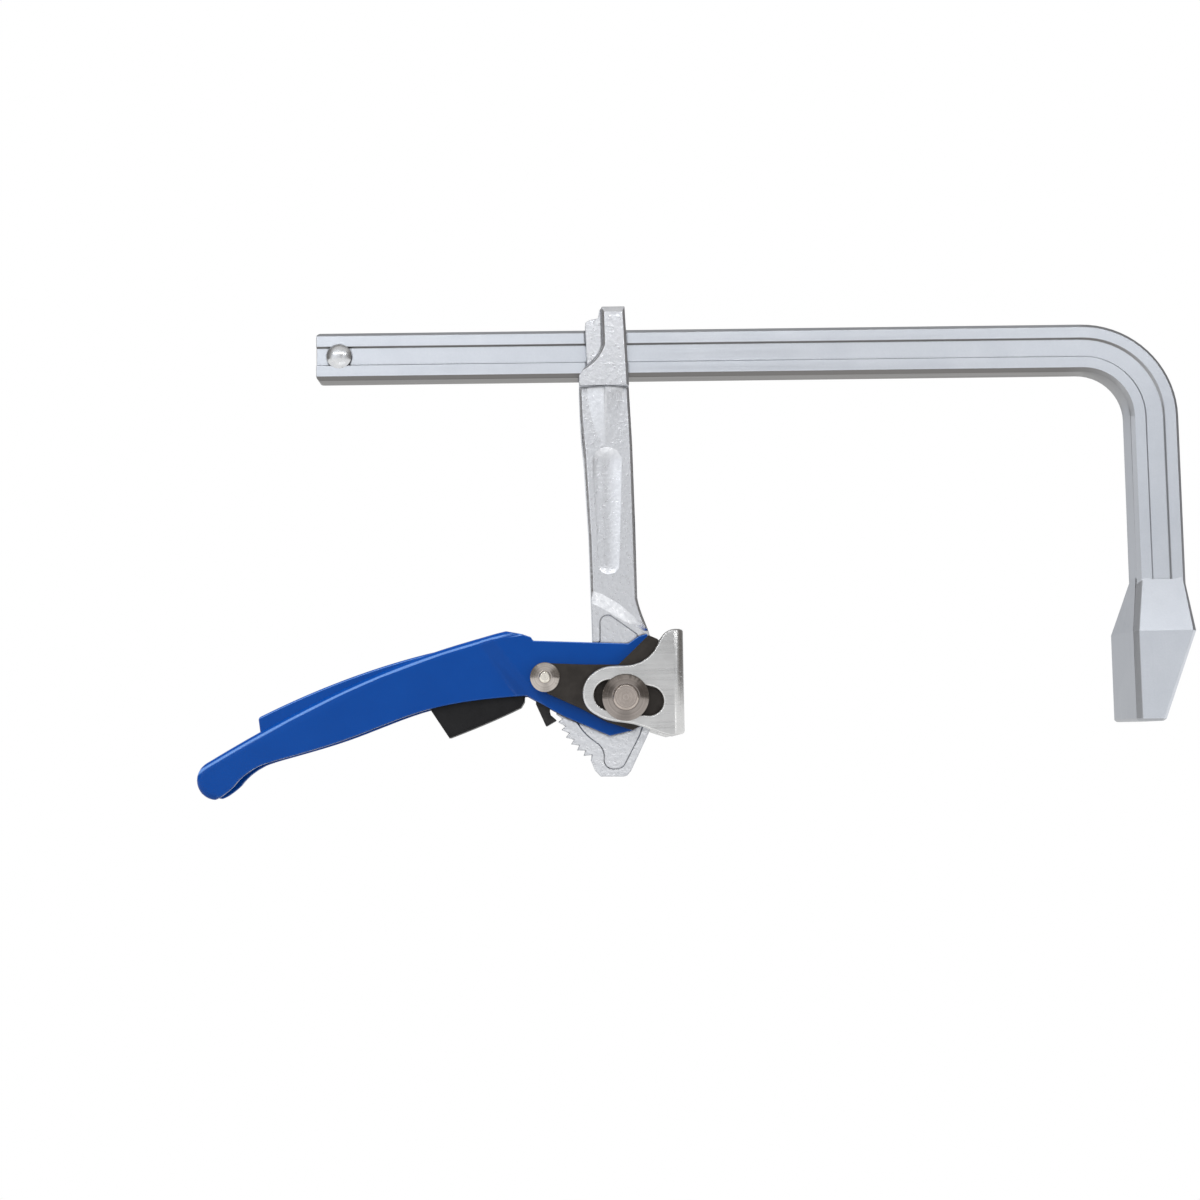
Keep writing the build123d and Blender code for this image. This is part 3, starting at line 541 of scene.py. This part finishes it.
def ribbon(name, outer, inner, half_width):
    """Closed band between two rows of points in the XZ plane."""
    mesh = bmesh.new()
    rings = []
    for one, other in zip(outer, inner):
        corners = [(one, -1), (one, 1), (other, 1), (other, -1)]
        rings.append([mesh.verts.new((p.x, side * half_width, p.z)) for p, side in corners])
    for ring, next_ring in zip(rings, rings[1:]):
        for i in range(4):
            j = (i + 1) % 4
            mesh.faces.new((ring[i], next_ring[i], next_ring[j], ring[j]))
    mesh.faces.new(rings[0])
    mesh.faces.new(list(reversed(rings[-1])))
    bmesh.ops.recalc_face_normals(mesh, faces=mesh.faces)
    return piece_from(mesh, name)


def piece_from(mesh, name):
    """New piece in the scene with the shape of a mesh that is still being built."""
    data = bpy.data.meshes.new(name)
    mesh.to_mesh(data)
    mesh.free()
    piece = bpy.data.objects.new(name, data)
    bpy.context.scene.collection.objects.link(piece)
    return piece


def trigger_lip():
    """Raised lip along the lower edge of the trigger."""
    lower = [point + LIP_DOWN * LIP_OVERHANG for point in curve_by(PAWL_PIN, LIP_EDGE, LIP_STEPS)]
    upper = [point - LIP_DOWN * LIP_HEIGHT for point in lower]
    piece = ribbon("trigger_lip", lower, upper, TRIGGER_HALF + LIP_OVERHANG)
    rounding = piece.modifiers.new("edges", "BEVEL")
    rounding.width = LIP_ROUND
    rounding.segments = EDGE_SEGMENTS
    piece.data.materials.append(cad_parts["trigger"].data.materials[0])
    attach(piece, "pawl_lever")


def grip_crown():
    """Raised crown on the web of the grip, highest at its outer end."""
    top = curve_by(MAIN_PIN, CROWN_TOP, CROWN_STEPS)
    foot = curve_by(MAIN_PIN, CROWN_FOOT, CROWN_STEPS)
    piece = ribbon("grip_crown", top, foot, CROWN_HALF)
    piece.data.shade_smooth()
    piece.data.set_sharp_from_angle(angle=EDGE_ANGLE)
    round_edges(piece, CROWN_ROUND, CROWN_SEGMENTS)
    piece.data.materials.append(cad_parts["handle"].data.materials[0])
    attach(piece, "lever")


# Studio


def floor_paper():
    """Paper with a painted shade pool under the clamp, where more of its own lit grey shows, turning to
    plain white further out.
    """
    material = material_named("floor_paper", (FLOOR_TONE, FLOOR_TONE, FLOOR_TONE), 0.0, FLOOR_ROUGHNESS)
    tree = material.node_tree
    ray = add(tree, "ShaderNodeLightPath").outputs
    seen = math_node(tree, "MAXIMUM", ray["Is Camera Ray"], ray["Is Glossy Ray"])
    seen = math_node(tree, "MAXIMUM", seen, ray["Is Transmission Ray"])
    away = vector_node(tree, "SUBTRACT", place(tree), FLOOR_GREY_CENTRE)
    shrink = (1 / FLOOR_GREY_REACH[0], 1 / FLOOR_GREY_REACH[1], 0)
    radius = length_of(tree, vector_node(tree, "MULTIPLY", away, shrink))
    # Less white shown under the clamp: the painted shade pool
    share = math_node(tree, "MULTIPLY", seen, smooth_step(tree, radius, FLOOR_GREY_FADE, FLOOR_GREY_LIFT, 1))
    white = add(tree, "ShaderNodeEmission", None, {"Color": (*WHITE, 1.0), "Strength": 1.0})
    lit = shader_of(material)
    mix = add(tree, "ShaderNodeMixShader", {0: share, 1: lit.outputs[0], 2: white.outputs[0]})
    tree.links.new(mix.outputs[0], tree.nodes["Material Output"].inputs["Surface"])
    return material


def floor():
    """Pale floor that keeps the shadow of the object."""
    mesh = bmesh.new()
    bmesh.ops.create_grid(mesh, x_segments=1, y_segments=1, size=FLOOR_SIZE / 2)
    piece = piece_from(mesh, "floor")
    piece.location = (0, 0, FLOOR_LEVEL)
    piece.data.materials.append(floor_paper())


def bright_share(tree, rightward, forward):
    """Share of the bright studio: in front and behind, more to the left and in a band on the right."""
    depth = math_node(tree, "ABSOLUTE", forward, 0)
    front = smooth_step(tree, depth, BRIGHT_DEPTH, 0, 1)
    leftward = math_node(tree, "MULTIPLY", rightward, -1)
    left = smooth_step(tree, leftward, LEFT_RISE, 1, LEFT_SHARE)
    right = smooth_step(tree, rightward, RIGHT_FALL, 1, RIGHT_SHARE)
    band = smooth_step(tree, rightward, RIGHT_RISE, 0, FAR_RIGHT_SHARE)
    band = math_node(tree, "MULTIPLY", band, smooth_step(tree, rightward, RIGHT_END, 1, 0))
    sides = math_node(tree, "MULTIPLY", left, math_node(tree, "MAXIMUM", right, band))
    return math_node(tree, "MULTIPLY", front, sides)


def overhead_share(tree, forward, upward):
    """Share of the pale ceiling over the camera's side of the studio."""
    high = smooth_step(tree, upward, OVERHEAD_HEIGHT, 0, 1)
    near = smooth_step(tree, math_node(tree, "MULTIPLY", forward, -1), OVERHEAD_FRONT, 0, 1)
    return math_node(tree, "MULTIPLY", high, near)


def sky():
    """White to the camera, a soft studio in reflections, and plain light for the rest."""
    world = bpy.data.worlds.new("studio")
    world.use_nodes = True
    bpy.context.scene.world = world
    tree = world.node_tree
    ray = add(tree, "ShaderNodeLightPath").outputs
    direction = add(tree, "ShaderNodeTexCoord").outputs["Generated"]
    rightward, forward, upward = add(tree, "ShaderNodeSeparateXYZ", {0: direction}).outputs
    dim = colour_mix(tree, overhead_share(tree, forward, upward), STUDIO_DARK, OVERHEAD)
    bright = bright_share(tree, rightward, forward)
    studio = colour_mix(tree, bright, dim, STUDIO_BRIGHT, clamp_factor=False)
    mirrored = math_node(tree, "MAXIMUM", ray["Is Glossy Ray"], ray["Is Transmission Ray"])
    shown = colour_mix(tree, mirrored, DIFFUSE_SKY, studio)
    seen = colour_mix(tree, ray["Is Camera Ray"], shown, WHITE)
    tree.links.new(seen, tree.nodes["Background"].inputs["Color"])


def softbox(name, place_at, size, power, aim=LAMP_AIM, mirrored=False):
    """Rectangular lamp that looks at a point. A mirrored one shows only in reflections."""
    data = bpy.data.lights.new(name, "AREA")
    data.shape = "RECTANGLE"
    data.size, data.size_y = size
    data.energy = power
    lamp = bpy.data.objects.new(name, data)
    lamp.visible_glossy = mirrored
    lamp.visible_diffuse = not mirrored
    lamp.visible_camera = False
    lamp.location = place_at
    direction = Vector(aim) - Vector(place_at)
    lamp.rotation_euler = direction.to_track_quat("-Z", "Y").to_euler()
    bpy.context.scene.collection.objects.link(lamp)


def lamps():
    """Three soft lamps that light the clamp, and two that show only in its reflections."""
    softbox("softbox_left", (-1.1, -0.9, 0.7), (0.9, 1.2), 7)
    softbox("softbox_top", (-0.1, -0.35, 1.4), (1.6, 0.5), 9)
    softbox("softbox_right", (1.2, -0.9, 0.3), (0.5, 1.0), 3)
    softbox("strip_light", (-0.25, -1.3, 0.95), (2.6, 0.03), 5, mirrored=True)
    softbox("low_card", (-0.2, -0.42, -0.17), (0.4, 0.06), 0.085, LOW_CARD_AIM, mirrored=True)


def camera():
    """Camera at the photograph's place, tilted up and rolled a little."""
    data = bpy.data.cameras.new("camera")
    data.lens = CAMERA_LENS
    data.sensor_width = CAMERA_SENSOR
    data.shift_x, data.shift_y = CAMERA_SHIFT
    piece = bpy.data.objects.new("camera", data)
    bpy.context.scene.collection.objects.link(piece)
    level_right = Vector((1, 0, 0))
    level_up = Vector((0, -math.sin(CAMERA_PITCH), math.cos(CAMERA_PITCH)))
    forward = Vector((0, math.cos(CAMERA_PITCH), math.sin(CAMERA_PITCH)))
    right = math.cos(CAMERA_ROLL) * level_right - math.sin(CAMERA_ROLL) * level_up
    up = math.sin(CAMERA_ROLL) * level_right + math.cos(CAMERA_ROLL) * level_up
    turn = Matrix((right, up, -forward)).transposed().to_4x4()
    piece.matrix_world = Matrix.Translation(CAMERA_PLACE) @ turn
    bpy.context.scene.camera = piece


dress_all()
trigger_lip()
grip_crown()
floor()
sky()
lamps()
camera()
bpy.context.scene.view_settings.view_transform = "Standard"
